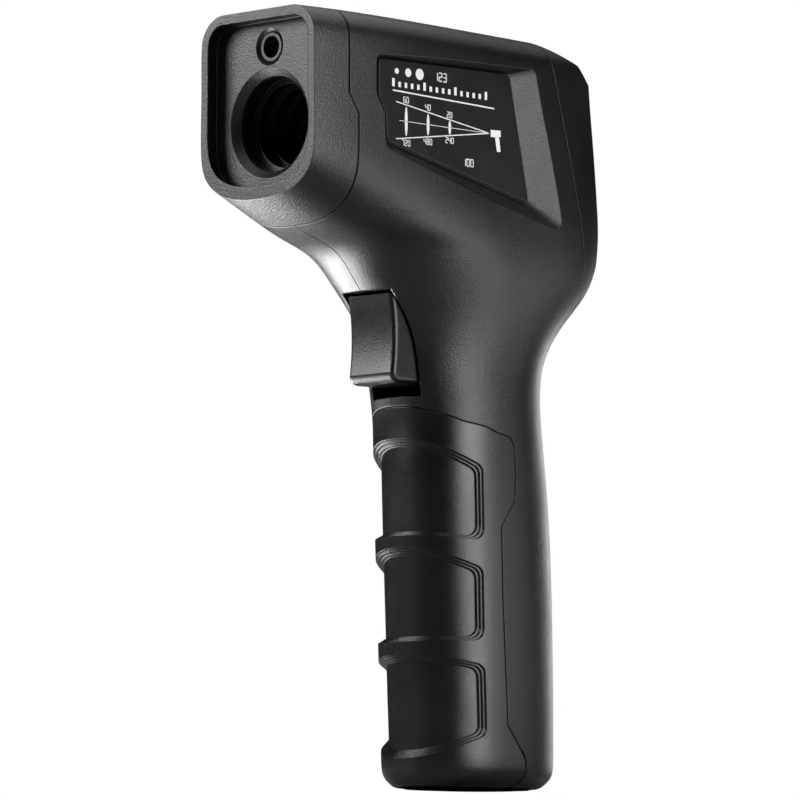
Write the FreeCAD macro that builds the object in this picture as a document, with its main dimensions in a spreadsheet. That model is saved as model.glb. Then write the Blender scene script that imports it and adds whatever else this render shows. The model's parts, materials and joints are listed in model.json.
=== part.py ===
import FreeCAD, Part
import math
import os

import Sketcher
from FreeCAD import Placement, Rotation, Vector

# Pistol-shaped infrared thermometer, in millimetres.
# +Z is up, the nose points along -Y and the origin is the middle of the base.

os.makedirs("parts", exist_ok=True)
doc = FreeCAD.newDocument("infrared_thermometer")

# ---------------------------------------------------------------- sizes

SIZES = {
    # housing
    "total_height": 160.0,
    "nose_face": 42.0,
    "top_drop_deg": 1.0,
    "shoulder_radius": 6.5,
    "butt_radius": 4.5,
    "wall": 2.2,
    "seam_gap": 0.25,
    "middle_gap": 0.05,
    # nose cap
    "cap_seam_high": 33.65,
    "cap_seam_low": 31.3,
    "rim_width": 1.9,
    "panel_depth": 3.5,
    "panel_thick": 2.2,
    "lens_axis_height": 136.7,
    "laser_axis_height": 152.7,
    "mouth_radius": 10.0,
    "mouth_chamfer": 1.55,
    "laser_hole_radius": 3.1,
    "laser_sink_radius": 4.0,
    # rear cover, measured across its leaning back
    "rear_lean_deg": 6.83,
    "rear_middle_y": 39.72,
    "rear_middle_z": 131.0,
    "window_width": 30.0,
    "window_height": 21.0,
    "window_thick": 1.0,
    "window_pane_width": 29.7,
    "window_pane_height": 20.7,
    "display_width": 24.6,
    "display_height": 16.4,
    "board_width": 31.4,
    "board_height": 33.0,
    "window_centre": 7.6,
    "key_width": 7.6,
    "key_height": 6.0,
    "key_pitch": 10.2,
    "key_row": -11.4,
    "key_proud": 0.7,
    "key_gap": 0.25,
    # lens barrel
    "barrel_radius": 11.6,
    "barrel_length": 32.0,
    "barrel_step": 0.75,
    "barrel_step_length": 3.6,
    "lens_radius": 7.2,
    "lens_sphere": 22.0,
    "lens_thick": 2.2,
    "detector_radius": 4.1,
    "detector_length": 3.4,
    "laser_radius": 3.0,
    "laser_length": 9.0,
    # trigger
    "trigger_width": 13.4,
    "trigger_bottom": 84.5,
    "trigger_top": 103.2,
    "trigger_pivot_y": -2.5,
    "trigger_pivot_z": 101.0,
    "trigger_pin_radius": 1.0,
    "pin_clearance": 0.05,
    "switch_height": 94.0,
    "spring_height": 88.6,
    # battery compartment and its door
    "door_wall": 3.0,
    "door_gap": 0.2,
    "hinge_y": 17.5,
    "hinge_z": 4.2,
    "hinge_pin_radius": 1.0,
    "hinge_lobe_radius": 5.0,
    "knuckle_radius": 2.4,
    "knuckle_half": 5.0,
    "groove_depth": 1.6,
    "cell_radius": 5.25,
    "cell_length": 44.5,
    "cell_spacing": 5.45,
    "cell_y": 11.6,
    "cell_bottom": 22.0,
    # fasteners
    "screw_radius": 1.2,
    "screw_head_radius": 2.2,
    "screw_head_height": 1.5,
    "screw_length": 15.0,
    "boss_radius": 2.9,
}

sheet = doc.addObject("Spreadsheet::Sheet", "sizes")
for row, (alias, value) in enumerate(SIZES.items(), start=1):
    sheet.set(f"A{row}", alias)
    sheet.set(f"B{row}", str(value))
    sheet.setAlias(f"B{row}", alias)
doc.recompute()


def size(alias):
    """The value of one cell of the sheet."""
    return float(sheet.get(alias))


WALL = size("wall")
TOP = size("total_height")
NOSE = -size("nose_face")
PANEL = NOSE + size("panel_depth")
PANEL_BACK = PANEL + size("panel_thick")
LENS_Z = size("lens_axis_height")
LASER_Z = size("laser_axis_height")
HINGE = (size("hinge_y"), size("hinge_z"))
BEYOND = 60.0

# Screw bosses that join the two shells: height and depth of each axis.
BOSSES = [(6.0, 152.2), (14.0, 117.5), (27.5, 97.0), (29.0, 58.0), (29.0, 16.0)]

NODES = []

# ---------------------------------------------------------------- helpers


def add_feature(label, shape, placement=None):
    """A finished piece whose shape is worked out in this file."""
    feature = doc.addObject("Part::Feature", label)
    feature.Label = label
    feature.Shape = shape
    if placement is not None:
        feature.Placement = placement
    NODES.append(feature)
    return feature


def side_prism(points, half_width=BEYOND):
    """A prism across the whole width, from an outline of (y, z) points."""
    corners = [Vector(-half_width, y, z) for y, z in points]
    face = Part.Face(Part.makePolygon(corners + corners[:1]))
    return face.extrude(Vector(2 * half_width, 0, 0))


def cross_cylinder(y, z, radius, x_from, x_to):
    """A cylinder along X, between two places on that axis."""
    return Part.makeCylinder(radius, x_to - x_from, Vector(x_from, y, z), Vector(1, 0, 0))


def nose_cylinder(z, radius, y_from, y_to):
    """A cylinder along Y, on the middle plane."""
    return Part.makeCylinder(radius, y_to - y_from, Vector(0, y_from, z), Vector(0, 1, 0))


def box(x, y, z):
    """A box from three (low, high) pairs."""
    return Part.makeBox(x[1] - x[0], y[1] - y[0], z[1] - z[0], Vector(x[0], y[0], z[0]))


def rounded_outline(points, radius, to_3d):
    """A closed wire of straight runs joined by arcs of one radius."""
    edges = []
    ends = []
    count = len(points)
    for i, corner in enumerate(points):
        here = Vector(corner[0], corner[1], 0)
        before = Vector(*points[i - 1], 0) - here
        after = Vector(*points[(i + 1) % count], 0) - here
        half_angle = before.getAngle(after) / 2
        reach = radius / math.tan(half_angle)
        before.normalize()
        after.normalize()
        start = here + before * reach
        end = here + after * reach
        inward = (before + after).normalize()
        middle = here + inward * (radius / math.sin(half_angle) - radius)
        ends.append((start, middle, end))
    for i, (start, middle, end) in enumerate(ends):
        following = ends[(i + 1) % count][0]
        arc = Part.Arc(to_3d(start), to_3d(middle), to_3d(end))
        edges.append(arc.toShape())
        edges.append(Part.makeLine(to_3d(end), to_3d(following)))
    return Part.Wire(edges)


# ---------------------------------------------------------------- outer form

# The housing is one smooth skin through level sections. Each column gives one
# measure of the section at a few heights, as (height, value).
FRONT_LINE = [
    (0, 1.0), (30, 0.0), (55, -1.0), (80, -2.0), (86, -3.2), (92, -4.3), (96, -5.8), (100, -8.3),
    (104.5, -12.2), (108.9, -15.9), (111.5, -19.0), (113.5, -23.9), (115.9, -31.5), (118.2, -36.8),
    (120.5, -42.0), (124, -49.5), (128, -55.5), (133, -58.0), (170, -58.0),
]
BACK_LINE = [
    (0, 39.4), (8, 40.0), (20, 40.15), (35, 40.1), (50, 39.7), (62, 38.7), (75, 36.9), (83, 36.0),
    (88, 36.3), (92, 37.4), (96, 39.6), (101, 43.6), (106, 48.0), (112, 51.5), (120, 55.0),
    (135, 56.0), (170, 56.0),
]
HALF_WIDTH = [
    (0, 15.2), (20, 15.4), (60, 15.4), (82, 15.4), (90, 15.7), (97, 16.6), (103, 18.0),
    (109, 19.6), (115, 20.5), (122, 20.9), (150, 20.7), (170, 20.5),
]
WIDEST_Y = [(0, 20.0), (80, 17.0), (100, 18.0), (120, 14.0), (170, 14.0)]
FRONT_SQUARENESS = [(0, 2.2), (80, 2.2), (105, 2.25), (112, 2.35), (121, 2.7), (128, 3.0), (170, 3.0)]
BACK_SQUARENESS = [(0, 2.4), (85, 2.3), (100, 2.5), (112, 3.4), (170, 3.6)]
SECTION_HEIGHTS = [
    9, 18, 28, 38, 48, 56, 64, 72, 80, 85, 90, 95, 99, 103, 106, 109, 112, 115, 118, 121, 124.5,
    128, 133, 140, 148,
]
POINTS_PER_QUARTER = 8


def along(column, height):
    """A column's value at a height, by a cubic that never overshoots."""
    xs = [p[0] for p in column]
    ys = [p[1] for p in column]
    height = min(max(height, xs[0]), xs[-1])
    steps = [b - a for a, b in zip(xs, xs[1:])]
    slopes = [(b - a) / step for a, b, step in zip(ys, ys[1:], steps)]
    tangents = [slopes[0]]
    for i in range(1, len(slopes)):
        low, high = slopes[i - 1], slopes[i]
        if low * high <= 0:
            tangents.append(0.0)
        else:
            first = 2 * steps[i] + steps[i - 1]
            second = steps[i] + 2 * steps[i - 1]
            tangents.append((first + second) / (first / low + second / high))
    tangents.append(slopes[-1])
    i = max(k for k in range(len(steps)) if xs[k] <= height)
    t = (height - xs[i]) / steps[i]
    return (
        (1 + 2 * t) * (1 - t) ** 2 * ys[i]
        + t * (1 - t) ** 2 * steps[i] * tangents[i]
        + t * t * (3 - 2 * t) * ys[i + 1]
        + t * t * (t - 1) * steps[i] * tangents[i + 1]
    )


def half_points(height, inset, round_in):
    """Points of one side of a level section, from the front of the middle plane to its back."""
    level = height - inset
    drawn_in = inset + round_in
    front = along(FRONT_LINE, level) + drawn_in
    back = along(BACK_LINE, level) - drawn_in
    half = along(HALF_WIDTH, level) - drawn_in
    widest = along(WIDEST_Y, level)
    front_power = 2 / along(FRONT_SQUARENESS, level)
    back_power = 2 / along(BACK_SQUARENESS, level)
    tilt = math.tan(math.radians(size("top_drop_deg"))) * max(0.0, (height - 124) / (TOP - 124))
    points = []
    for i in range(2 * POINTS_PER_QUARTER + 1):
        angle = math.pi / 2 * i / POINTS_PER_QUARTER
        sine, cosine = abs(math.sin(angle)), math.cos(angle)
        if cosine > 0:
            y = widest + (front - widest) * cosine ** front_power
            x = half * sine ** front_power
        else:
            y = widest + (back - widest) * abs(cosine) ** back_power
            x = half * sine ** back_power
        points.append(Vector(x, y, height - (y - NOSE) * tilt))
    points[0].x = 0
    points[-1].x = 0
    return points


def shared_parameters():
    """One set of knots for every section, from the run of a handle section and a head section."""
    shares = []
    for height in (60, 135):
        points = half_points(height, 0.0, 0.0)
        runs = [(b - a).Length for a, b in zip(points, points[1:])]
        shares.append([sum(runs[:i]) / sum(runs) for i in range(len(points))])
    return [(a + b) / 2 for a, b in zip(*shares)]


KNOTS = shared_parameters()


def half_section(height, inset, round_in):
    """One side of a level section, closed along the middle plane."""
    points = half_points(height, inset, round_in)
    curve = Part.BSplineCurve()
    curve.interpolate(Points=points, Parameters=KNOTS,
                      InitialTangent=Vector(1, 0, 0), FinalTangent=Vector(-1, 0, 0))
    return Part.Wire([curve.toShape(), Part.makeLine(points[-1], points[0])])


def rear_trim(inset):
    """What lies behind the bevelled, leaning back of the head."""
    lean = math.tan(math.radians(size("rear_lean_deg")))
    low = (size("rear_middle_y") + 19.0 * lean - inset, size("rear_middle_z") - 19.0)
    high = (size("rear_middle_y") - 19.4 * lean - inset, size("rear_middle_z") + 19.4 - inset)
    bevel = (high[0] - 3.4, high[1] + 4.0)
    return side_prism([
        (low[0] - 1.0, low[1] - 15), (low[0] - 0.6, low[1] - 8), low, high, bevel,
        (bevel[0] - 40, bevel[1] + 15.5), (BEYOND + 40, TOP + 30), (BEYOND + 40, low[1] - 15),
    ])


def rounded_ends(low, high, low_radius, high_radius):
    """Heights near both ends of the form, with how far each is drawn in by the rounding."""
    places = []
    for angle_deg in (90, 70, 50, 30, 12, 0):
        angle = math.radians(angle_deg)
        drop = low_radius * (1 - math.sin(angle))
        draw = low_radius * (1 - math.cos(angle))
        places.append((low + low_radius - low_radius * math.sin(angle), draw))
    for angle_deg in (0, 12, 30, 50, 70, 90):
        angle = math.radians(angle_deg)
        draw = high_radius * (1 - math.cos(angle))
        places.append((high - high_radius + high_radius * math.sin(angle), draw))
    return places


def half_form(inset):
    """The +X half of the housing's solid form, drawn in by the inset, open past the nose."""
    low_radius = max(size("butt_radius") - inset, 0.8)
    high_radius = size("shoulder_radius") - inset
    places = rounded_ends(inset, TOP - inset, low_radius, high_radius)
    places += [(h, 0.0) for h in SECTION_HEIGHTS]
    wires = [half_section(h, inset, draw) for h, draw in sorted(places)]
    loft = Part.makeLoft(wires, True, False)
    return loft.cut(rear_trim(inset))


# ---------------------------------------------------------------- housing pieces


def both_sides(half):
    """A whole piece from its +X half."""
    return half.fuse(half.mirror(Vector(0, 0, 0), Vector(1, 0, 0))).removeSplitter()


def shifted(shape, y, z):
    """A copy moved along Y and Z."""
    moved = shape.copy()
    moved.translate(Vector(0, y, z))
    return moved


OUTER = half_form(0.0)
INNER = half_form(WALL)
HOLLOW = OUTER.cut(INNER)
GAP = size("seam_gap")

# What belongs to the nose cap: everything ahead of a seam with one jog in it.
CAP_ZONE = side_prism([
    (-80, 90), (-80, 180), (-size("cap_seam_high"), 180), (-size("cap_seam_high"), 141.8),
    (-size("cap_seam_low"), 137.6), (-size("cap_seam_low"), 90),
])

# What belongs to the rear cover: everything behind a seam that leans back downwards.
SEAM_SLOPE = 0.28
SEAM_MIDDLE = (27.8, 144.7)
COVER_ZONE = side_prism([
    (SEAM_MIDDLE[0] + SEAM_SLOPE * (SEAM_MIDDLE[1] - 200), 200),
    (SEAM_MIDDLE[0] + SEAM_SLOPE * (SEAM_MIDDLE[1] - 90), 90), (120, 90), (120, 200),
])

# What belongs to the battery door: the front of the handle, with a step near its top
# and a round lobe about the hinge pin.
DOOR_TOP = [(-30, 91.8), (5.9, 76.7), (11.1, 75.7), (13.9, 74.6), (17.4, 74.0), (18.9, 72.2)]
DOOR_SIDE = [(19.3, 66.6), (19.0, 60.6), (15.0, 54.9), (15.4, 39.5), (16.2, 24.5), (16.9, 13.0)]
DOOR_FOOT = [(19.2, 10.1), (21.3, 7.4), (HINGE[0], HINGE[1]), (HINGE[0], -5), (-30, -5)]
DOOR_ZONE = side_prism(DOOR_TOP + DOOR_SIDE + DOOR_FOOT)
DOOR_GAP = size("door_gap")
DOOR_LOBE = cross_cylinder(*HINGE, size("hinge_lobe_radius"), -BEYOND, BEYOND)
DOOR_SOCKET = cross_cylinder(*HINGE, size("hinge_lobe_radius") + 1.75 * DOOR_GAP, -BEYOND, BEYOND)

# Recess for the printed plate, in the side of the head, as (y, z).
PLATE_OUTLINE = [
    (-25.4, 149.9), (14.6, 150.6), (20.6, 123.1), (-22.9, 132.6), (-23.2, 138.2), (-25.4, 142.2),
]
RECESS_MOUTH = [
    (-27.8, 151.0), (20.2, 152.0), (29.2, 117.4), (-24.8, 130.1), (-25.2, 138.4), (-27.8, 142.4),
]
PLATE_X = 18.2
MOUTH_X = 20.9
PLATE_THICK = 0.5


def grown_outline(outline, share):
    """The recess outline, moved from the plate's edge towards the mouth and beyond."""
    return [
        (y + share * (mouth_y - y), z + share * (mouth_z - z))
        for (y, z), (mouth_y, mouth_z) in zip(outline, RECESS_MOUTH)
    ]


def label_recess():
    """The flared pocket that the label plate lies in."""
    floor = rounded_outline(PLATE_OUTLINE, 1.2, lambda p: Vector(PLATE_X, p.x, p.y))
    far_x = 2 * MOUTH_X - PLATE_X
    far = rounded_outline(grown_outline(PLATE_OUTLINE, 2.0), 1.8, lambda p: Vector(far_x, p.x, p.y))
    return Part.makeLoft([floor, far], True, True)


def label_plate():
    """The printed plate, a hair smaller than the floor of its recess."""
    seat = PLATE_X + size("middle_gap")
    wire = rounded_outline(grown_outline(PLATE_OUTLINE, -0.12), 1.1, lambda p: Vector(seat, p.x, p.y))
    return Part.Face(wire).extrude(Vector(PLATE_THICK, 0, 0))


TRIGGER_PIVOT = (size("trigger_pivot_y"), size("trigger_pivot_z"))


LUG_RADIUS = 2.2
ARM_RADIUS = 3.9
PIN_HALF = 9.6
SHELL_SIDE = 17.0
TRIGGER_SLOT_HALF = 7.1


def half_shell():
    """What the two shells share, as the +X one."""
    shell = HOLLOW.cut(CAP_ZONE.fuse(shifted(CAP_ZONE, GAP, 0)))
    shell = shell.cut(COVER_ZONE.fuse(shifted(COVER_ZONE, -GAP, 0)))
    shell = shell.cut(shifted(DOOR_ZONE, DOOR_GAP, DOOR_GAP / 2)).cut(DOOR_SOCKET)
    backing = box((PLATE_X - 1.8, 19.2), (-27.5, 22), (119, 153)).common(OUTER)
    lug = cross_cylinder(*TRIGGER_PIVOT, LUG_RADIUS, TRIGGER_SLOT_HALF + 0.2, SHELL_SIDE).common(OUTER)
    spring_seat = box((0, SHELL_SIDE), (10.2, 11.7), (85.2, 90.4)).common(OUTER)
    arm_half = size("knuckle_half") - size("middle_gap")
    arm = cross_cylinder(*HINGE, ARM_RADIUS, 0, arm_half)
    arm = arm.fuse(box((0, arm_half), (HINGE[0], 24), (0.25, 7.0)))
    shell = shell.fuse([backing.cut(CAP_ZONE), lug, spring_seat, arm])
    shell = shell.cut(box((0, TRIGGER_SLOT_HALF), (-25, 8), (82.0, 103.9)))
    shell = shell.cut(cross_cylinder(*TRIGGER_PIVOT, size("trigger_pin_radius"), 0, PIN_HALF))
    shell = shell.cut(cross_cylinder(*HINGE, size("hinge_pin_radius"), 0, PIN_HALF))
    shell = shell.cut(label_recess())
    shell.translate(Vector(size("middle_gap"), 0, 0))
    return shell


HALF_SHELL = half_shell()


BOSS_LENGTH = 17.5
THREAD_DEPTH = 10.5
HEAD_SEAT_X = 5.0
OUT_OF_SIDE = 30.0


def boss_cylinders(radius, x_from, x_to):
    """One cylinder on each screw axis."""
    return [cross_cylinder(y, z, radius, x_from, x_to) for y, z in BOSSES]


def left_shell():
    """The +X shell, with blind bosses that take the screw threads."""
    bosses = boss_cylinders(size("boss_radius"), 0, BOSS_LENGTH)
    shell = HALF_SHELL.fuse([boss.common(OUTER) for boss in bosses])
    return shell.cut(Part.makeCompound(boss_cylinders(size("screw_radius") + 0.02, -1, THREAD_DEPTH)))


def right_shell():
    """The -X shell, with through bosses and counterbores for the screw heads."""
    switch_rib = box((3.3, SHELL_SIDE), (8.4, 12), (91.8, 98.2)).common(OUTER)
    bosses = boss_cylinders(size("boss_radius") + 0.3, 0, BOSS_LENGTH)
    shell = HALF_SHELL.fuse([boss.common(OUTER) for boss in bosses] + [switch_rib])
    shell = shell.cut(Part.makeCompound(boss_cylinders(size("screw_radius") + 0.2, -1, OUT_OF_SIDE)))
    head_bores = boss_cylinders(size("screw_head_radius") + 0.3, HEAD_SEAT_X, OUT_OF_SIDE)
    shell = shell.cut(Part.makeCompound(head_bores))
    return shell.mirror(Vector(0, 0, 0), Vector(1, 0, 0))


def nose_cap():
    """The front bezel: rim, sunk panel, lens mouth, laser hole and laser socket."""
    front = box((0, BEYOND), (NOSE, PANEL_BACK), (90, 180))
    sides = box((0, BEYOND), (PANEL_BACK, 0), (90, 180))
    sunk = half_form(size("rim_width")).common(box((0, BEYOND), (NOSE, PANEL), (90, 180)))
    cap = OUTER.common(front).cut(sunk).fuse(HOLLOW.common(sides).common(CAP_ZONE))
    socket = nose_cylinder(LASER_Z, size("laser_radius") + 1.2, PANEL_BACK, -29.5)
    cap = both_sides(cap).fuse(socket)
    mouth = size("mouth_radius")
    chamfer = size("mouth_chamfer")
    cap = cap.cut(nose_cylinder(LENS_Z, mouth, NOSE, PANEL_BACK + 1))
    flare = Part.makeCone(mouth + chamfer, mouth, chamfer, Vector(0, PANEL, LENS_Z), Vector(0, 1, 0))
    cap = cap.cut(flare)
    sink_depth = size("laser_sink_radius") - size("laser_hole_radius")
    sink = Part.makeCone(size("laser_sink_radius"), size("laser_hole_radius"), sink_depth,
                         Vector(0, PANEL, LASER_Z), Vector(0, 1, 0))
    return cap.cut(sink).cut(nose_cylinder(LASER_Z, size("laser_hole_radius"), NOSE, -20))


# Local frame of the leaning back: X is the user's right, Y climbs the face, Z points out.
REAR = Placement(
    Vector(0, size("rear_middle_y"), size("rear_middle_z")),
    Rotation(Vector(1, 0, 0), size("rear_lean_deg")) * Rotation(Vector(0, 1, 1), 180),
)
BOARD_SCREWS = [(side * u, v) for side in (-1, 1) for u, v in ((14.0, -5.3), (14.4, 13.6))]
KEYS = {"left_key": -1, "mode_key": 0, "right_key": 1}
BOARD_DEPTH = 7.0
BOARD_THICK = 1.2
BOARD_BOSS_RADIUS = 1.9
BOARD_SCREW_RADIUS = 0.92
THROUGH_WALL = 4.0
SIGHT_LEDGE = 3.0


def rear_block(width, height, corner, centre, depth_from, depth_to):
    """A round-cornered block on the rear frame, between two depths below the face."""
    u, v = centre
    points = [(u - width / 2, v - height / 2), (u + width / 2, v - height / 2),
              (u + width / 2, v + height / 2), (u - width / 2, v + height / 2)]
    wire = rounded_outline(points, corner, lambda p: Vector(p.x, p.y, -depth_to))
    block = Part.Face(wire).extrude(Vector(0, 0, depth_to - depth_from))
    block.Placement = REAR
    return block


def rear_cylinder(radius, centre, depth_from, depth_to):
    """A cylinder square to the leaning back, between two depths."""
    base = Vector(centre[0], centre[1], -depth_to)
    cylinder = Part.makeCylinder(radius, depth_to - depth_from, base)
    cylinder.Placement = REAR
    return cylinder


def key_centre(place):
    """Middle of one key on the rear frame."""
    return (place * size("key_pitch"), size("key_row"))


def rear_cover():
    """The cap over the back of the head, with a window opening, key holes and board bosses."""
    cover = both_sides(HOLLOW.common(COVER_ZONE))
    bosses = [rear_cylinder(BOARD_BOSS_RADIUS, centre, 1.5, BOARD_DEPTH) for centre in BOARD_SCREWS]
    cover = cover.fuse(bosses)
    width, height = size("window_width"), size("window_height")
    centre = (0, size("window_centre"))
    cover = cover.cut(rear_block(width, height, 1.6, centre, -2, size("window_thick") + 0.1))
    cover = cover.cut(rear_block(width - 2 * SIGHT_LEDGE, height - 2 * SIGHT_LEDGE, 1.0, centre, -2,
                                 THROUGH_WALL))
    for place in KEYS.values():
        gap = 2 * size("key_gap")
        hole = rear_block(size("key_width") + gap, size("key_height") + gap, 1.45,
                          key_centre(place), -3, THROUGH_WALL)
        cover = cover.cut(hole)
    for centre in BOARD_SCREWS:
        cover = cover.cut(rear_cylinder(BOARD_SCREW_RADIUS, centre, 3.0, BOARD_DEPTH + 1))
    return cover


# Finger grooves: each an outline of (y, z) that runs back and down from the front.
GROOVES = [
    [(-6, 75.0), (9.2, 66.2), (9.6, 52.8), (-6, 54.9)],
    [(-6, 51.6), (9.4, 44.8), (9.8, 31.9), (-6, 31.9)],
    [(-6, 28.2), (10.0, 24.4), (10.6, 12.0), (-6, 4.2)],
]


GROOVE_LEVELS = 3
GROOVE_BEVEL = 1.1
GROOVE_CORNER = 2.2


def groove_cutter(outline, floor, reach):
    """One finger groove down to a floor, its outline grown by a reach."""
    middle_y = sum(p[0] for p in outline) / 4
    middle_z = sum(p[1] for p in outline) / 4
    grown = [(y + math.copysign(reach, y - middle_y), z + math.copysign(reach, z - middle_z))
             for y, z in outline]
    wire = rounded_outline(grown, GROOVE_CORNER, lambda p: Vector(-1, p.x, p.y))
    return Part.Face(wire).extrude(Vector(BEYOND, 0, 0)).cut(floor)


def battery_door():
    """The front of the handle, which swings down on the pin in its foot."""
    ear_from = size("knuckle_half") + 0.3
    ear_to = 8.8
    door = OUTER.common(DOOR_ZONE.fuse(DOOR_LOBE)).cut(half_form(size("door_wall")))
    for level in range(GROOVE_LEVELS):
        floor = half_form(size("groove_depth") * (level + 1) / GROOVE_LEVELS)
        reach = GROOVE_BEVEL * (1 - level / GROOVE_LEVELS)
        for outline in GROOVES:
            door = door.cut(groove_cutter(outline, floor, reach))
    knuckle = size("knuckle_radius")
    door = door.cut(box((-1, ear_from - 0.05), (13.2, 26), (-1, 12)))
    ear = cross_cylinder(*HINGE, knuckle, ear_from, ear_to)
    foot = box((ear_from, ear_to), (HINGE[0] - knuckle, HINGE[0] + knuckle), (1.0, HINGE[1]))
    door = door.fuse([ear, foot.common(OUTER)])
    door = door.cut(cross_cylinder(*HINGE, size("hinge_pin_radius") + size("pin_clearance"), 0, PIN_HALF))
    return both_sides(door)


# ---------------------------------------------------------------- trigger group


def trigger():
    """The pull button: a block with a hollowed front, round foot, pivot eye and inner flange."""
    half = size("trigger_width") / 2
    low, high = size("trigger_bottom"), size("trigger_top")
    front = Part.Arc(Vector(-half, -9.2, high), Vector(-half, -8.25, (low + high) / 2 + 0.6),
                     Vector(-half, -8.8, low + 2.0))
    heel = Part.Arc(Vector(-half, -8.8, low + 2.0), Vector(-half, -8.2, low + 0.6),
                    Vector(-half, -6.8, low))
    edges = [front.toShape(), heel.toShape()]
    corners = [Vector(-half, -6.8, low), Vector(-half, 4.8, low), Vector(-half, 4.8, high),
               Vector(-half, -9.2, high)]
    edges += [Part.makeLine(a, b) for a, b in zip(corners, corners[1:])]
    block = Part.Face(Part.Wire(edges)).extrude(Vector(2 * half, 0, 0))
    front_edges = [e for e in block.Edges
                   if abs(abs(e.CenterOfMass.x) - half) < 0.01 and e.CenterOfMass.y < -7.5]
    block = block.makeFillet(1.1, front_edges)
    flange = box((-8.4, 8.4), (3.4, 4.8), (86.0, 98.4))
    eye = cross_cylinder(*TRIGGER_PIVOT, size("trigger_pin_radius") + size("pin_clearance"), -9, 9)
    return block.fuse(flange).cut(eye)


def coil(radius, wire, length, turns, placement):
    """A compression spring standing on its own Z axis."""
    helix = Part.makeHelix((length - wire) / turns, length - wire, radius)
    helix.translate(Vector(0, 0, wire / 2))
    start = Vector(radius, 0, wire / 2)
    section = Part.Wire([Part.makeCircle(wire / 2, start, Vector(0, 1, 0))])
    spring = Part.Wire(helix.Edges).makePipeShell([section], True, True)
    spring.Placement = placement
    return spring


ALONG_Y = Rotation(Vector(1, 0, 0), -90)
ALONG_X = Rotation(Vector(0, 1, 0), 90)

# ---------------------------------------------------------------- parametric pieces


def new_body(label, placement):
    """An empty body with its own label and place."""
    body = doc.addObject("PartDesign::Body", label)
    body.Label = label
    body.Placement = placement
    NODES.append(body)
    return body


def polygon_sketch(body, role, points, name):
    """A closed outline on one origin plane, each corner bound to two expressions."""
    sketch = body.newObject("Sketcher::SketchObject", name)
    plane = [f for f in body.Origin.OriginFeatures if f.Role == role][0]
    sketch.AttachmentSupport = (plane, [""])
    sketch.MapMode = "FlatFace"
    places = [Vector(doc_value(a), doc_value(b), 0) for a, b in points]
    count = len(points)
    for i in range(count):
        sketch.addGeometry(Part.LineSegment(places[i], places[(i + 1) % count]), False)
    for i in range(count):
        sketch.addConstraint(Sketcher.Constraint("Coincident", i, 2, (i + 1) % count, 1))
    for i, (across, up) in enumerate(points):
        for kind, expression in (("DistanceX", across), ("DistanceY", up)):
            datum = sketch.addConstraint(
                Sketcher.Constraint(kind, -1, 1, i, 1, doc_value(expression)))
            sketch.setExpression(f"Constraints[{datum}]", bound(expression))
    return sketch


def bound(expression):
    """An expression text with each alias given its sheet's name."""
    words = str(expression).split(" ")
    return " ".join(f"sizes.{word}" if word in SIZES else word for word in words)


def doc_value(expression):
    """The number that an expression text of sums and products of aliases comes to."""
    total = 0.0
    sign = 1
    product = None
    operator = None
    for word in str(expression).split(" "):
        if word in ("+", "-"):
            total += sign * product
            sign = 1 if word == "+" else -1
            product = None
        elif word in ("*", "/"):
            operator = word
        else:
            value = size(word) if word in SIZES else float(word)
            if product is None:
                product = value
            elif operator == "*":
                product *= value
            else:
                product /= value
    return total + sign * product


def turned(label, profile, placement):
    """A piece turned about its own Z axis, from (radius, height) expressions."""
    body = new_body(label, placement)
    sketch = polygon_sketch(body, "XZ_Plane", profile, label + "_profile")
    turn = body.newObject("PartDesign::Revolution", label + "_turn")
    turn.Profile = sketch
    turn.ReferenceAxis = (sketch, ["V_Axis"])
    turn.Angle = 360
    sketch.Visibility = False
    return body


def plate(label, width, height, thick, placement, corner=None):
    """A flat block centred on its own Z axis; each size is one alias or one number."""
    body = new_body(label, placement)
    across, up = f"{width} / 2", f"{height} / 2"
    left, down = f"-1 * {across}", f"-1 * {up}"
    points = [(left, down), (across, down), (across, up), (left, up)]
    sketch = polygon_sketch(body, "XY_Plane", points, label + "_outline")
    pad = body.newObject("PartDesign::Pad", label + "_pad")
    pad.Profile = sketch
    pad.setExpression("Length", bound(thick))
    doc.recompute()
    if corner is not None:
        uprights = [f"Edge{i + 1}" for i, e in enumerate(pad.Shape.Edges)
                    if abs(e.Vertexes[0].Z - e.Vertexes[1].Z) > 0.01]
        fillet = body.newObject("PartDesign::Fillet", label + "_corners")
        fillet.Base = (pad, uprights)
        fillet.setExpression("Radius", bound(corner))
    return body


def cylinder(name, radius, height, placement):
    """A Part cylinder whose radius and height are bound to the sheet."""
    piece = doc.addObject("Part::Cylinder", name)
    piece.setExpression("Radius", bound(radius))
    piece.setExpression("Height", bound(height))
    piece.Placement = placement
    return piece


def block(name, length, width, height, placement):
    """A Part box whose three sizes are bound to the sheet."""
    piece = doc.addObject("Part::Box", name)
    piece.setExpression("Length", bound(length))
    piece.setExpression("Width", bound(width))
    piece.setExpression("Height", bound(height))
    piece.Placement = placement
    return piece


def joined(label, kind, pieces):
    """A fuse, cut or compound of objects, which becomes a node."""
    result = doc.addObject(kind, label)
    result.Label = label
    if kind == "Part::Cut":
        result.Base, result.Tool = pieces
    elif kind == "Part::Compound":
        result.Links = pieces
    else:
        result.Shapes = pieces
    NODES.append(result)
    return result


def at(x, y, z, rotation=Rotation()):
    """A placement."""
    return Placement(Vector(x, y, z), rotation)


def on_rear(u, v, depth):
    """A placement on the rear frame, Z pointing out of the back."""
    return REAR * Placement(Vector(u, v, -depth), Rotation())


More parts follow.
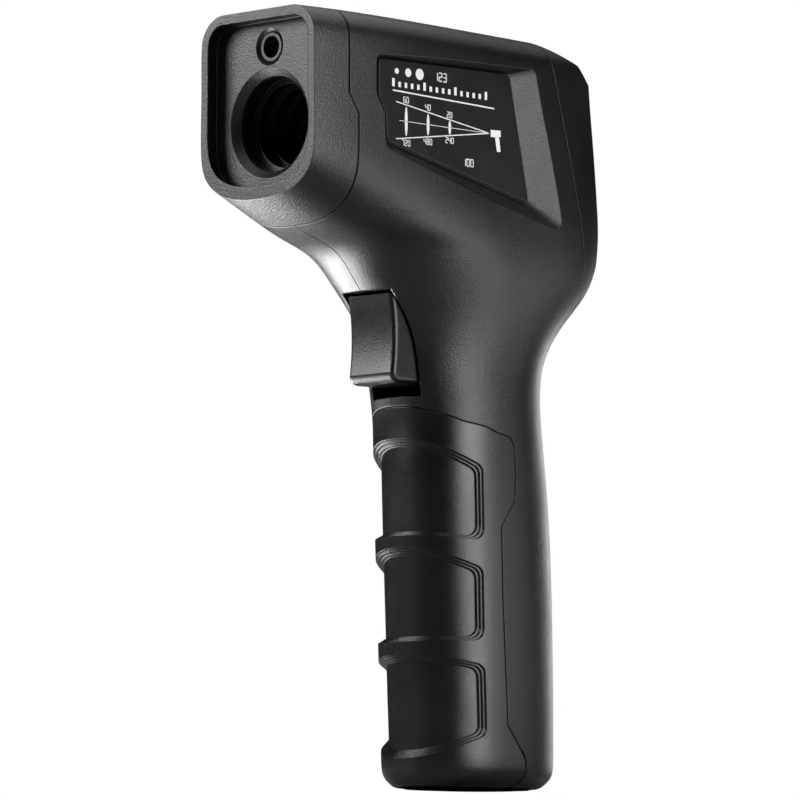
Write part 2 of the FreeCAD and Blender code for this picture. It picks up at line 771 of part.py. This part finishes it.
def lens_group():
    """Everything on the optical axis and the laser beside it."""
    profile = []
    height = "0"
    for ring in range(4):
        bore = f"mouth_radius - {ring} * barrel_step"
        profile.append((bore, height))
        height = f"{ring + 1} * barrel_step_length"
        profile.append((bore, f"{height} - 0.5"))
        profile.append((f"{bore} - 1.2", f"{height} - 0.5"))
        profile.append((f"{bore} - 1.2", height))
    profile += [
        ("lens_radius + 0.1", height), ("lens_radius + 0.1", "barrel_length"),
        ("barrel_radius", "barrel_length"), ("barrel_radius", "0"),
    ]
    turned("lens_barrel", profile, at(0, PANEL_BACK, LENS_Z, ALONG_Y))
    seat = PANEL_BACK + 4 * size("barrel_step_length")
    ball = doc.addObject("Part::Sphere", "lens_ball")
    ball.setExpression("Radius", bound("lens_sphere"))
    ball.Placement = at(0, seat + 0.1 + size("lens_sphere"), LENS_Z)
    rod = cylinder("lens_rod", "lens_radius", "lens_thick", at(0, seat + 0.1, LENS_Z, ALONG_Y))
    joined("infrared_lens", "Part::MultiCommon", [ball, rod])
    ring_y = seat + 0.1 + size("lens_thick")
    ring = [("lens_radius - 1.2", "0"), ("lens_radius + 0.08", "0"), ("lens_radius + 0.08", "1.5"),
            ("lens_radius - 1.2", "1.5")]
    turned("lens_retainer", ring, at(0, ring_y, LENS_Z, ALONG_Y))
    barrel_end = PANEL_BACK + size("barrel_length")
    can = cylinder("can", "detector_radius", "detector_length",
                   at(0, barrel_end - size("detector_length"), LENS_Z, ALONG_Y))
    base = cylinder("can_base", "detector_radius + 0.5", "0.6", at(0, barrel_end - 0.6, LENS_Z, ALONG_Y))
    joined("detector_can", "Part::MultiFuse", [can, base])
    cylinder_window = cylinder("detector_window", "detector_radius / 3", "0.2",
                               at(0, barrel_end - size("detector_length") - 0.2, LENS_Z, ALONG_Y))
    NODES.append(cylinder_window)
    plate("sensor_board", "22", "22", "1.2", at(0, barrel_end + 1.2, LENS_Z, Rotation(Vector(1, 0, 0), 90)))
    screws = []
    for side in (-1, 1):
        screws.append(cylinder("sensor_screw_head", "1.5", "1.0",
                               at(side * 9.4, barrel_end + 1.2, LENS_Z, ALONG_Y)))
    joined("sensor_screws", "Part::Compound", screws)
    laser_y = PANEL_BACK + 1.6
    turned("laser_module", [("0", "0.8"), ("1.4", "0.8"), ("1.4", "0"), ("laser_radius", "0"),
                            ("laser_radius", "laser_length"), ("0", "laser_length")],
           at(0, laser_y, LASER_Z, ALONG_Y))
    NODES.append(cylinder("laser_lens", "1.38", "0.5", at(0, laser_y + 0.25, LASER_Z, ALONG_Y)))
    outside = "laser_hole_radius - 0.04"
    ring_profile = [("2.3", "0"), (outside, "0"), (outside, "2.6"), ("2.3", "2.6")]
    turned("laser_ring", ring_profile, at(0, PANEL + 0.5, LASER_Z, ALONG_Y))


def on_crown(point):
    """True for a point on the outer face of the keys."""
    return abs(REAR.inverse().multVec(point).z - size("key_proud")) < 0.01


def rear_group():
    """Window, display, board and keys behind the leaning back."""
    plate("display_window", "window_pane_width", "window_pane_height", "window_thick",
          on_rear(0, size("window_centre"), size("window_thick")), "1.5")
    plate("display_module", "display_width", "display_height", "2.2",
          on_rear(0, size("window_centre"), 4.8))
    plate("backlight_plate", "display_width", "display_height", "1.3",
          on_rear(0, size("window_centre"), 6.15))
    plate("main_board", "board_width", "board_height", str(BOARD_THICK),
          on_rear(0, 0, BOARD_DEPTH + BOARD_THICK))
    plate("processor_chip", "9", "9", "1.4", on_rear(5, 6, BOARD_DEPTH + BOARD_THICK + 1.4))
    NODES.append(cylinder("buzzer", "4.5", "3.0", on_rear(-7, -7, BOARD_DEPTH + BOARD_THICK + 3.0)))
    heads = [cylinder("board_screw", "1.7", "1.1", on_rear(u, v, BOARD_DEPTH + BOARD_THICK + 1.1))
             for u, v in BOARD_SCREWS]
    joined("board_screws", "Part::Compound", heads)
    switches = []
    for place in KEYS.values():
        u, v = key_centre(place)
        base = block("switch_base", "6", "6", "2.6", on_rear(u - 3, v - 3, BOARD_DEPTH))
        button = cylinder("switch_button", "1.6", "0.8", on_rear(u, v, BOARD_DEPTH - 2.6))
        pair = doc.addObject("Part::MultiFuse", "key_switch")
        pair.Shapes = [base, button]
        switches.append(pair)
    joined("key_switches", "Part::Compound", switches)
    for name, place in KEYS.items():
        key = rear_block(size("key_width"), size("key_height"), 1.2, key_centre(place),
                         -size("key_proud"), 2.6)
        crown = [e for e in key.Edges if all(on_crown(v.Point) for v in e.Vertexes)]
        key = key.makeChamfer(0.35, crown)
        flange = rear_block(size("key_width") + 1.6, size("key_height") + 1.6, 1.2,
                            key_centre(place), 2.3, 2.95)
        add_feature(name, key.fuse(flange))


def trigger_group():
    """Trigger, pin, return spring and the switch behind it."""
    add_feature("trigger", trigger())
    NODES.append(cylinder("trigger_pin", "trigger_pin_radius", "18.6",
                          at(-9.3, *TRIGGER_PIVOT, ALONG_X)))
    add_feature("trigger_spring", coil(2.1, 0.5, 5.2, 3, at(0, 4.9, size("spring_height"), ALONG_Y)))
    height = size("switch_height") + 1.0
    body = block("switch_case", "6.4", "6.5", "7.6", at(-3.2, 6.9, height - 3.8))
    bore = cylinder("switch_bore", "1.25", "3.0", at(0, 6.8, height, ALONG_Y))
    joined("trigger_switch", "Part::Cut", (body, bore))
    tip = cylinder("plunger_tip", "0.6", "1.4", at(0, 5.0, height, ALONG_Y))
    stem = cylinder("plunger_stem", "1.2", "2.0", at(0, 6.3, height, ALONG_Y))
    joined("switch_plunger", "Part::MultiFuse", [tip, stem])


def battery_group():
    """Tray, two cells, their contacts and the door's hinge pin."""
    spacing = size("cell_spacing")
    cell_y = size("cell_y")
    bottom = size("cell_bottom")
    top = bottom + size("cell_length")
    back = block("tray_back", "23.2", "4.0", "cell_length + 10.5", at(-11.6, 14.6, 13.6))
    walls = [block("tray_wall", "18", "6.2", "1.6", at(-9, 8.6, z)) for z in (13.6, top + 0.5)]
    frame = doc.addObject("Part::MultiFuse", "tray_frame")
    frame.Shapes = [back] + walls
    cradles = [cylinder("cradle", "cell_radius + 0.2", "cell_length + 7.3", at(side * spacing, cell_y, 15.2))
               for side in (-1, 1)]
    cradle_pair = doc.addObject("Part::Compound", "cradles")
    cradle_pair.Links = cradles
    joined("battery_tray", "Part::Cut", (frame, cradle_pair))
    profile = [("0", "0"), ("cell_radius - 0.4", "0"), ("cell_radius", "0.4"),
               ("cell_radius", "cell_length - 1.4"), ("cell_radius - 0.5", "cell_length - 0.9"),
               ("1.9", "cell_length - 0.9"), ("1.9", "cell_length"), ("0", "cell_length")]
    flipped = Rotation(Vector(1, 0, 0), 180)
    turned("battery_left", profile, at(spacing, cell_y, bottom))
    turned("battery_right", profile, at(-spacing, cell_y, top, flipped))
    springs = []
    for side in (-1, 1):
        springs.append(coil(2.6, 0.5, 6.2, 4, at(side * spacing, cell_y, 15.65)))
    add_feature("contact_springs", Part.makeCompound(springs))
    leaves = [block("contact_leaf", "7.6", "6.4", "0.35", at(side * spacing - 3.8, cell_y - 3.0, z))
              for side in (-1, 1) for z in (15.25, top + 0.08)]
    joined("contact_plates", "Part::Compound", leaves)
    NODES.append(cylinder("hinge_pin", "hinge_pin_radius", "17.4", at(-8.7, *HINGE, ALONG_X)))


def case_screws():
    """Five self-tapping screws that draw the right shell onto the left one."""
    screws = []
    for y, z in BOSSES:
        head = cylinder("screw_head", "screw_head_radius", "screw_head_height",
                        at(-HEAD_SEAT_X, y, z, Rotation(Vector(0, 1, 0), -90)))
        shank = cylinder("screw_shank", "screw_radius", "screw_length", at(-HEAD_SEAT_X, y, z, ALONG_X))
        slot = block("screw_slot", "1.0", "3.0", "0.6",
                     at(-HEAD_SEAT_X - size("screw_head_height"), y - 1.5, z - 0.3))
        solid = doc.addObject("Part::MultiFuse", "screw_blank")
        solid.Shapes = [head, shank]
        cut = doc.addObject("Part::Cut", "screw")
        cut.Base, cut.Tool = solid, slot
        screws.append(cut)
    joined("case_screws", "Part::Compound", screws)


# ---------------------------------------------------------------- build and write

add_feature("left_shell", left_shell())
add_feature("right_shell", right_shell())
add_feature("nose_cap", nose_cap())
add_feature("rear_cover", rear_cover())
add_feature("battery_door", battery_door())
add_feature("left_label_plate", label_plate())
add_feature("right_label_plate", label_plate().mirror(Vector(0, 0, 0), Vector(1, 0, 0)))
lens_group()
rear_group()
trigger_group()
battery_group()
case_screws()
doc.recompute()

for item in doc.Objects:
    if {"Invalid", "Error"} & set(item.State):
        raise RuntimeError(f"{item.Label} failed: {item.State}")
for node in NODES:
    if node.Shape.isNull() or not node.Shape.isValid() or not node.Shape.Solids:
        raise RuntimeError(f"{node.Label} has no valid solid")
for node in NODES:
    node.Shape.exportStep(f"parts/{node.Label}.step")
print(len(NODES), "pieces written")
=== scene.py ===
import json
import math

import bmesh
import bpy
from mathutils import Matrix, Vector

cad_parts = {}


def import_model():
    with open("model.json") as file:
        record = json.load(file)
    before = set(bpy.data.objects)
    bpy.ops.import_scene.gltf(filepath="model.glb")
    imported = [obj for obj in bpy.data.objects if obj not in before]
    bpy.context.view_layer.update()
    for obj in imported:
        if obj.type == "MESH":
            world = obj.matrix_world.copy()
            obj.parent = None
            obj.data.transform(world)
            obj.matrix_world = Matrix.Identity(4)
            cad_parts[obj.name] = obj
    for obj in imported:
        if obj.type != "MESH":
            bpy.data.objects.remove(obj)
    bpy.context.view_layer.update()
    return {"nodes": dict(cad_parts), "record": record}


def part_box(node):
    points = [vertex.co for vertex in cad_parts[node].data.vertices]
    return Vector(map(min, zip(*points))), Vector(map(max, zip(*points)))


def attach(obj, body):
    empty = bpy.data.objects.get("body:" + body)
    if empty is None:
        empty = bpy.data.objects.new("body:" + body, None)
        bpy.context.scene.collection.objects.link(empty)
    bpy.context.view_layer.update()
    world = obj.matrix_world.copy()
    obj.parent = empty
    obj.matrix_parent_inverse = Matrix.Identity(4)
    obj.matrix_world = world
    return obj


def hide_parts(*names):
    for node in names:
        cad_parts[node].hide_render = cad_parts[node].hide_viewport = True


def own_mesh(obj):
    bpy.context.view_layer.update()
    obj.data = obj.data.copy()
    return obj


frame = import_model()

# An infrared thermometer: finishes for its CAD nodes, printed marks, a copy of the return spring
# fixed to the housing, and a plain studio. Lengths are in metres.
MM = 0.001
BODY = "housing"
scene = bpy.context.scene


def add_object(name, data):
    """A new object in the scene."""
    piece = bpy.data.objects.new(name, data)
    scene.collection.objects.link(piece)
    return piece


# ---------------------------------------------------------------- materials

EDGE_RADIUS = 0.35 * MM
GRAIN_DEPTH = 0.12 * MM
# How well a rounded normal still agrees with the real one where wear starts and where it is full.
WEAR_STARTS, WEAR_FULL = 0.98, 0.8
# The part of a noise's range that its light and dark patches really reach.
NOISE_LOW, NOISE_HIGH = 0.3, 0.7


def new_material(name):
    """A material with its tree and the shader to build on."""
    material = bpy.data.materials.new(name)
    material.use_nodes = True
    tree = material.node_tree
    shader = tree.nodes["Principled BSDF"]
    return material, tree, shader


def noise(tree, scale, detail, roughness=0.6):
    """Noise in object space, scale in features per metre."""
    place = tree.nodes.new("ShaderNodeTexCoord")
    texture = tree.nodes.new("ShaderNodeTexNoise")
    texture.inputs["Scale"].default_value = scale
    texture.inputs["Detail"].default_value = detail
    texture.inputs["Roughness"].default_value = roughness
    tree.links.new(place.outputs["Object"], texture.inputs["Vector"])
    return texture.outputs["Fac"]


def remap(tree, value, low, high, to_low, to_high):
    """A value moved from one range to another."""
    node = tree.nodes.new("ShaderNodeMapRange")
    for socket, number in zip(node.inputs[1:5], (low, high, to_low, to_high)):
        socket.default_value = number
    tree.links.new(value, node.inputs[0])
    return node.outputs[0]


def mixed(tree, factor, first, second):
    """A colour between two, by a factor; each is a colour or a socket."""
    node = tree.nodes.new("ShaderNodeMix")
    node.data_type = "RGBA"
    sockets = {socket.identifier: socket for socket in node.inputs}
    for name, colour in (("A_Color", first), ("B_Color", second)):
        if isinstance(colour, tuple):
            sockets[name].default_value = (*colour, 1)
        else:
            tree.links.new(colour, sockets[name])
    tree.links.new(factor, sockets["Factor_Float"])
    return next(socket for socket in node.outputs if socket.identifier == "Result_Color")


def scaled(colour, factor):
    """A colour made lighter or darker."""
    return tuple(channel * factor for channel in colour)


def vary_gloss(tree, shader, value, smooth, rough):
    """Roughness that follows a noise between two values."""
    tree.links.new(remap(tree, value, NOISE_LOW, NOISE_HIGH, smooth, rough), shader.inputs["Roughness"])


def edge_wear(tree):
    """A rounded normal, and how sharp the edge is: one where that normal leaves the real one."""
    rounded = tree.nodes.new("ShaderNodeBevel")
    rounded.samples = 6
    rounded.inputs["Radius"].default_value = EDGE_RADIUS
    true = tree.nodes.new("ShaderNodeNewGeometry")
    dot = tree.nodes.new("ShaderNodeVectorMath")
    dot.operation = "DOT_PRODUCT"
    tree.links.new(rounded.outputs[0], dot.inputs[0])
    tree.links.new(true.outputs["Normal"], dot.inputs[1])
    edge = remap(tree, dot.outputs["Value"], WEAR_STARTS, WEAR_FULL, 0.0, 1.0)
    return rounded.outputs[0], edge


def moulded(name, colour, rough, grain, bump, wear=0.35):
    """Moulded plastic: spark-eroded grain, a little mottling and paler rubbed edges."""
    material, tree, shader = new_material(name)
    normal, edge = edge_wear(tree)
    patches = noise(tree, scale=60, detail=3)
    fine = noise(tree, scale=grain, detail=3, roughness=0.7)
    pale = tuple(min(1.0, channel * 1.8 + 0.003) for channel in colour)
    mottled = mixed(tree, remap(tree, patches, 0.35, 0.7, 0, 1), colour, scaled(colour, 1.25))
    rubbed = mixed(tree, remap(tree, edge, 0, 1, 0, wear), mottled, pale)
    tree.links.new(rubbed, shader.inputs["Base Color"])
    vary_gloss(tree, shader, patches, rough - 0.04, rough + 0.05)
    relief = tree.nodes.new("ShaderNodeBump")
    relief.inputs["Strength"].default_value = bump
    relief.inputs["Distance"].default_value = GRAIN_DEPTH
    tree.links.new(fine, relief.inputs["Height"])
    tree.links.new(normal, relief.inputs["Normal"])
    tree.links.new(relief.outputs["Normal"], shader.inputs["Normal"])
    return material


def metal(name, colour, rough):
    """Plated or turned metal, with fine streaks in its gloss."""
    material, tree, shader = new_material(name)
    streaks = noise(tree, scale=900, detail=2)
    tone = mixed(tree, streaks, colour, scaled(colour, 0.8))
    tree.links.new(tone, shader.inputs["Base Color"])
    vary_gloss(tree, shader, streaks, rough - 0.06, rough + 0.1)
    shader.inputs["Metallic"].default_value = 1.0
    return material


def clear(name, colour, rough):
    """A clear window or lens with a faint smear in its gloss."""
    material, tree, shader = new_material(name)
    smear = noise(tree, scale=120, detail=2)
    shader.inputs["Base Color"].default_value = (*colour, 1)
    shader.inputs["Transmission Weight"].default_value = 0.92
    shader.inputs["IOR"].default_value = 1.49
    vary_gloss(tree, shader, smear, rough, rough + 0.05)
    return material


def plain_gloss(name, colour, other, rough, scale):
    """A coloured moulding, board or print with gentle variation."""
    material, tree, shader = new_material(name)
    patches = noise(tree, scale=scale, detail=4)
    tone = mixed(tree, remap(tree, patches, 0.35, 0.65, 0, 1), colour, other)
    tree.links.new(tone, shader.inputs["Base Color"])
    vary_gloss(tree, shader, patches, rough, rough + 0.12)
    return material


# One finish for each material slot of the record.
MATERIALS = {
    "housing": moulded("housing_abs", (0.0028, 0.0028, 0.0042), rough=0.30, grain=2600, bump=0.75),
    "bezel": moulded("bezel_abs", (0.004, 0.0038, 0.0045), rough=0.33, grain=2000, bump=1.0),
    "cover_plastic": moulded("cover_abs", (0.0025, 0.0025, 0.0036), rough=0.31, grain=2600, bump=0.7),
    "grip_plastic": moulded("grip_abs", (0.0025, 0.0027, 0.0038), rough=0.27, grain=3200, bump=0.35),
    "trigger_plastic": moulded("trigger_abs", (0.0025, 0.0025, 0.0038), rough=0.28, grain=3200,
                               bump=0.35),
    "label": moulded("label_plate", (0.0035, 0.0035, 0.005), rough=0.38, grain=2600, bump=0.3,
                     wear=0.1),
    "baffle": moulded("baffle_matt", (0.002, 0.002, 0.0023), rough=0.45, grain=2600, bump=0.3),
    "lens_glass": clear("lens_coated", (0.55, 0.5, 0.62), rough=0.03),
    "window_glass": clear("window_acrylic", (0.6, 0.64, 0.66), rough=0.03),
    "display": plain_gloss("display_cell", (0.23, 0.29, 0.24), (0.26, 0.32, 0.27), rough=0.18, scale=90),
    "diffuser": plain_gloss("light_guide", (0.8, 0.8, 0.78), (0.7, 0.7, 0.7), rough=0.4, scale=200),
    "circuit_board": plain_gloss("solder_mask", (0.01, 0.12, 0.04), (0.02, 0.17, 0.06), rough=0.3,
                                 scale=700),
    "chip": plain_gloss("chip_package", (0.015, 0.015, 0.015), (0.03, 0.03, 0.03), rough=0.5, scale=900),
    "key_rubber": moulded("key_silicone", (0.055, 0.056, 0.062), rough=0.55, grain=2400, bump=0.3,
                          wear=0.2),
    "steel": metal("plated_steel", (0.6, 0.6, 0.61), rough=0.3),
    "brass": metal("turned_brass", (0.72, 0.5, 0.22), rough=0.28),
    "cell_jacket": plain_gloss("cell_print", (0.03, 0.10, 0.26), (0.04, 0.13, 0.31), rough=0.25, scale=60),
}
PRINT = plain_gloss("pad_print_white", (0.78, 0.79, 0.80), (0.70, 0.71, 0.73), rough=0.5, scale=1500)
INK = plain_gloss("display_ink", (0.015, 0.02, 0.02), (0.03, 0.035, 0.035), rough=0.35, scale=500)

for row in frame["record"]["subparts"]:
    part = frame["nodes"][row["node"]]
    part.data.materials.clear()
    part.data.materials.append(MATERIALS[row["material_slot"]])

# ---------------------------------------------------------------- printed marks

FILM_GAP = 0.02 * MM
PRINT_THICK = 0.02 * MM
MARK_THICK = 0.03 * MM


def flat_piece(name, shapes, to_world, thickness, material, body=BODY):
    """Printed film: flat outlines given a little thickness, in one piece."""
    mesh = bpy.data.meshes.new(name)
    work = bmesh.new()
    for outline in shapes:
        low = [work.verts.new(to_world(u, v, 0.0)) for u, v in outline]
        high = [work.verts.new(to_world(u, v, thickness)) for u, v in outline]
        work.faces.new(low[::-1])
        work.faces.new(high)
        count = len(outline)
        for i in range(count):
            work.faces.new((low[i], low[(i + 1) % count], high[(i + 1) % count], high[i]))
    bmesh.ops.recalc_face_normals(work, faces=work.faces)
    work.to_mesh(mesh)
    work.free()
    piece = add_object(name, mesh)
    mesh.materials.append(material)
    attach(piece, body)


def bar(u0, v0, u1, v1, width):
    """A straight stroke as a four-cornered outline."""
    run = Vector((u1 - u0, v1 - v0)).normalized()
    side = Vector((-run.y, run.x)) * width / 2
    return [(u0 + side.x, v0 + side.y), (u0 - side.x, v0 - side.y),
            (u1 - side.x, v1 - side.y), (u1 + side.x, v1 + side.y)]


def oval(u, v, half_u, half_v, sides=28):
    """A filled oval."""
    turns = [2 * math.pi * i / sides for i in range(sides)]
    return [(u + half_u * math.cos(turn), v + half_v * math.sin(turn)) for turn in turns]


# Seven strokes of a digit on a unit cell, one wide and two tall.
STROKES = {
    "a": (0, 2, 1, 2), "b": (1, 2, 1, 1), "c": (1, 1, 1, 0), "d": (0, 0, 1, 0),
    "e": (0, 0, 0, 1), "f": (0, 1, 0, 2), "g": (0, 1, 1, 1),
}
DIGITS = {
    "0": "abcdef", "1": "bc", "2": "abged", "3": "abgcd", "4": "fgbc", "5": "afgcd",
    "6": "afgedc", "7": "abc", "8": "abcdefg", "9": "abcdfg",
}


def digits(text, u, v, height, width):
    """Strokes of a number, its lower left corner at (u, v)."""
    cell = height / 2
    digit_pitch, point_pitch, point_back = 1.55 * cell, 0.35 * cell, 0.1 * cell
    point_radius = 0.6 * width
    shapes = []
    left = u
    for letter in text:
        if letter == ".":
            shapes.append(oval(left - point_back, v, point_radius, point_radius, sides=12))
            left += point_pitch
            continue
        for stroke in DIGITS[letter]:
            u0, v0, u1, v1 = STROKES[stroke]
            shapes.append(bar(left + u0 * cell, v + v0 * cell, left + u1 * cell, v + v1 * cell, width))
        left += digit_pitch
    return shapes


plate_low, plate_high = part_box("left_label_plate")
PLATE_FACE = plate_high.x + FILM_GAP
PLATE_LENGTH = plate_high.y - plate_low.y
RIGHT_SET_IN = 1.5


def on_left_plate(u, v, lift):
    """A place on the left plate: u runs rearwards and v up, in mm from its lower front."""
    return (PLATE_FACE + lift, plate_low.y + u * MM, plate_low.z + v * MM)


def on_right_plate(u, v, lift):
    """A place on the right plate: u runs forwards, set in a little from its lower rear, and v up."""
    along = plate_low.y + PLATE_LENGTH - (u + RIGHT_SET_IN) * MM
    return (-(PLATE_FACE + lift), along, plate_low.z + v * MM)


# The design on the plates, in mm from the corner where its u and v start.
TIP_U, TIP_V = 33.0, 13.2
MOUTH_U, MOUTH_HALF = 5.0, 3.9


def cone_of_view():
    """Two edges and an axis from the mouth to the tip, under a slanting rule."""
    edge, axis, rule = 0.22, 0.12, 0.3
    return [
        bar(MOUTH_U, TIP_V + MOUTH_HALF, TIP_U, TIP_V, edge),
        bar(MOUTH_U, TIP_V - MOUTH_HALF, TIP_U, TIP_V, edge),
        bar(MOUTH_U + 1, TIP_V, TIP_U, TIP_V, axis),
        bar(4.0, 19.4, 34.5, 18.6, rule),
    ]


def range_spots():
    """The spot at three distances, with one number over it and one under it."""
    small, stroke, gap = 1.15, 0.18, 0.45
    half_wide, inside_cone = 0.42, 0.88
    shapes = []
    for u, over, under in ((8.0, "60", "720"), (14.5, "40", "480"), (21.0, "20", "240")):
        half = MOUTH_HALF * (TIP_U - u) / (TIP_U - MOUTH_U)
        shapes.append(oval(u, TIP_V, half_wide, half * inside_cone))
        shapes += digits(over, u - 0.8, TIP_V + half + gap, small, stroke)
        shapes += digits(under, u - 1.25, TIP_V - half - gap - small, small, stroke)
    return shapes


def pistol_sign():
    """A barrel and a handle, drawn at the tip of the cone."""
    barrel = [(33.4, 12.5), (33.4, 14.0), (36.4, 14.1), (36.5, 12.8), (34.9, 12.5)]
    handle = [(34.7, 12.6), (36.0, 12.6), (36.4, 9.6), (35.3, 9.5)]
    return [barrel, handle]


def scale_bars():
    """Sixteen bars in a row, the first and each fifth one after it taller."""
    start, foot, pitch, width = 4.2, 20.2, 1.85, 0.75
    shapes = []
    for step in range(16):
        left = start + step * pitch
        tall = 1.7 if step % 5 == 0 else 1.1
        shapes.append(bar(left, foot, left, foot + tall, width))
    return shapes


def growing_dots():
    """Three dots in a row, each larger than the one before."""
    start, height, pitch = 5.2, 23.5, 3.4
    radii = [0.6 + 0.3 * step for step in range(3)]
    return [oval(start + step * pitch, height, radius, radius) for step, radius in enumerate(radii)]


def label_design():
    """All that is printed on a plate."""
    return [
        *cone_of_view(), *range_spots(), *pistol_sign(), *scale_bars(), *growing_dots(),
        *digits("123", 16.5, 22.7, height=1.7, width=0.26),
        *digits("100", 25.0, 5.6, height=1.5, width=0.22),
    ]


flat_piece("left_plate_print", label_design(), on_left_plate, PRINT_THICK, PRINT)
flat_piece("right_plate_print", label_design(), on_right_plate, PRINT_THICK, PRINT)

# ---------------------------------------------------------------- marks on the back

LEAN = math.radians(6.83)
UP = Vector((0, -math.sin(LEAN), math.cos(LEAN)))
OUT = Vector((0, math.cos(LEAN), math.sin(LEAN)))
KEY_PROUD = 0.7 * MM
WINDOW_HALF_THICK = 0.5 * MM
DISPLAY_HALF_THICK = 1.1 * MM


def middle(node):
    """The middle of a node's box."""
    low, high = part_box(node)
    return (low + high) / 2


def leaning_face(centre):
    """A map from mm on a face of the leaning back to the world: u to its right, v up it."""

    def to_world(u, v, lift):
        return tuple(centre + Vector((-u * MM, 0, 0)) + UP * (v * MM) + OUT * (lift + FILM_GAP))

    return to_world


# The window lies flush, so its outer face gives the plane of the whole back.
window = middle("display_window") + OUT * WINDOW_HALF_THICK
display = middle("display_module") + OUT * DISPLAY_HALF_THICK
reading = digits("36.5", -9.3, -3.4, height=7.4, width=0.95)
flat_piece("display_digits", reading, leaning_face(display), MARK_THICK, INK)
KEY_MARKS = {
    "left_key": [(-1.1, -0.6), (1.1, -0.6), (0, 1.0)],
    "mode_key": oval(0, 0, 0.85, 0.85, sides=24),
    "right_key": [(-1.1, 0.6), (0, -1.0), (1.1, 0.6)],
}
for key, mark in KEY_MARKS.items():
    key_middle = middle(key)
    along_face = (key_middle - window).dot(UP)
    face = window + UP * along_face + OUT * KEY_PROUD
    face.x = key_middle.x
    flat_piece(key + "_mark", [mark], leaning_face(face), MARK_THICK, PRINT, key)

# ---------------------------------------------------------------- return spring


def return_spring():
    """The coil behind the trigger, copied as a piece of the housing in place of the CAD node."""
    coil = frame["nodes"]["trigger_spring"]
    spring = add_object("return_spring", coil.data.copy())
    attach(spring, BODY)
    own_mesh(spring)
    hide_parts("trigger_spring")


return_spring()

# ---------------------------------------------------------------- stage and lights

scene.view_settings.view_transform = "Standard"


def camera_or_light(tree, for_light):
    """One where the camera looks, and for_light where a ray carries light to the object."""
    path = tree.nodes.new("ShaderNodeLightPath")
    return remap(tree, path.outputs["Is Camera Ray"], 0, 1, for_light, 1.0)


def floor():
    """A pale floor that throws back only part of its light, open to a camera below it."""
    material, tree, shader = new_material("floor_white")
    share = camera_or_light(tree, for_light=0.35)
    tone = mixed(tree, noise(tree, scale=30, detail=2), (0.88, 0.88, 0.88), (0.92, 0.92, 0.92))
    tree.links.new(mixed(tree, share, (0.0, 0.0, 0.0), tone), shader.inputs["Base Color"])
    shader.inputs["Roughness"].default_value = 0.6
    side = tree.nodes.new("ShaderNodeNewGeometry")
    opening = tree.nodes.new("ShaderNodeBsdfTransparent")
    mix = tree.nodes.new("ShaderNodeMixShader")
    tree.links.new(side.outputs["Backfacing"], mix.inputs["Fac"])
    tree.links.new(shader.outputs[0], mix.inputs[1])
    tree.links.new(opening.outputs[0], mix.inputs[2])
    tree.links.new(mix.outputs[0], tree.nodes["Material Output"].inputs["Surface"])
    half = 3.0
    corners = [(-half, -half, 0), (half, -half, 0), (half, half, 0), (-half, half, 0)]
    mesh = bpy.data.meshes.new("floor")
    mesh.from_pydata(corners, [], [(0, 1, 2, 3)])
    mesh.materials.append(material)
    piece = add_object("floor", mesh)


def world():
    """White to the camera, dimmer to everything it lights."""
    sky = bpy.data.worlds.new("studio")
    sky.use_nodes = True
    tree = sky.node_tree
    back = tree.nodes["Background"]
    back.inputs["Color"].default_value = (1, 1, 1, 1)
    tree.links.new(camera_or_light(tree, for_light=0.035), back.inputs["Strength"])
    scene.world = sky


def soft_light(name, place, target, size, power, spread=180):
    """A rectangular soft box that faces a point; a grid on it narrows its spread, in degrees."""
    lamp = bpy.data.lights.new(name, "AREA")
    lamp.shape = "RECTANGLE"
    lamp.size, lamp.size_y = size
    lamp.energy = power
    lamp.spread = math.radians(spread)
    holder = add_object(name, lamp)
    holder.location = place
    holder.rotation_euler = (Vector(target) - Vector(place)).to_track_quat("-Z", "Y").to_euler()
    holder.visible_camera = False


# What the camera looks at, just above the middle of the object.
AIM = Vector((0, 0.00015, 0.08165))


def camera():
    """A long lens at the front left, looking a little upwards."""
    azimuth, elevation, distance = math.radians(44.5), math.radians(-5.5), 1.3
    back = Vector((math.sin(azimuth) * math.cos(elevation), -math.cos(azimuth) * math.cos(elevation),
                   math.sin(elevation)))
    data = bpy.data.cameras.new("camera")
    data.lens = 277.3
    data.clip_end = 20
    holder = add_object("camera", data)
    holder.location = AIM + back * distance
    holder.rotation_euler = back.to_track_quat("Z", "Y").to_euler()
    scene.camera = holder


floor()
world()
soft_light("nose_box", (-0.31, -0.38, 0.33), (0, -0.04, 0.15), size=(0.3, 0.24), power=2.6)
soft_light("top_box", (0.0, 0.1, 1.0), (0, 0, 0), size=(1.3, 1.3), power=9)
soft_light("rim_box", (-0.25, 0.9, 0.14), (0, 0.03, 0.09), size=(0.3, 0.5), power=1.6)
soft_light("key_box", (1.05, 0.0, 0.2), (0, 0, 0.1), size=(0.6, 0.6), power=9)
soft_light("low_box", (-0.115, -0.05, 0.012), (0, -0.04, 0.12), size=(0.14, 0.16), power=0.3, spread=75)
soft_light("neck_box", (0.16, 0.09, 0.012), (0.015, 0.0, 0.105), size=(0.2, 0.2), power=0.11, spread=110)
camera()
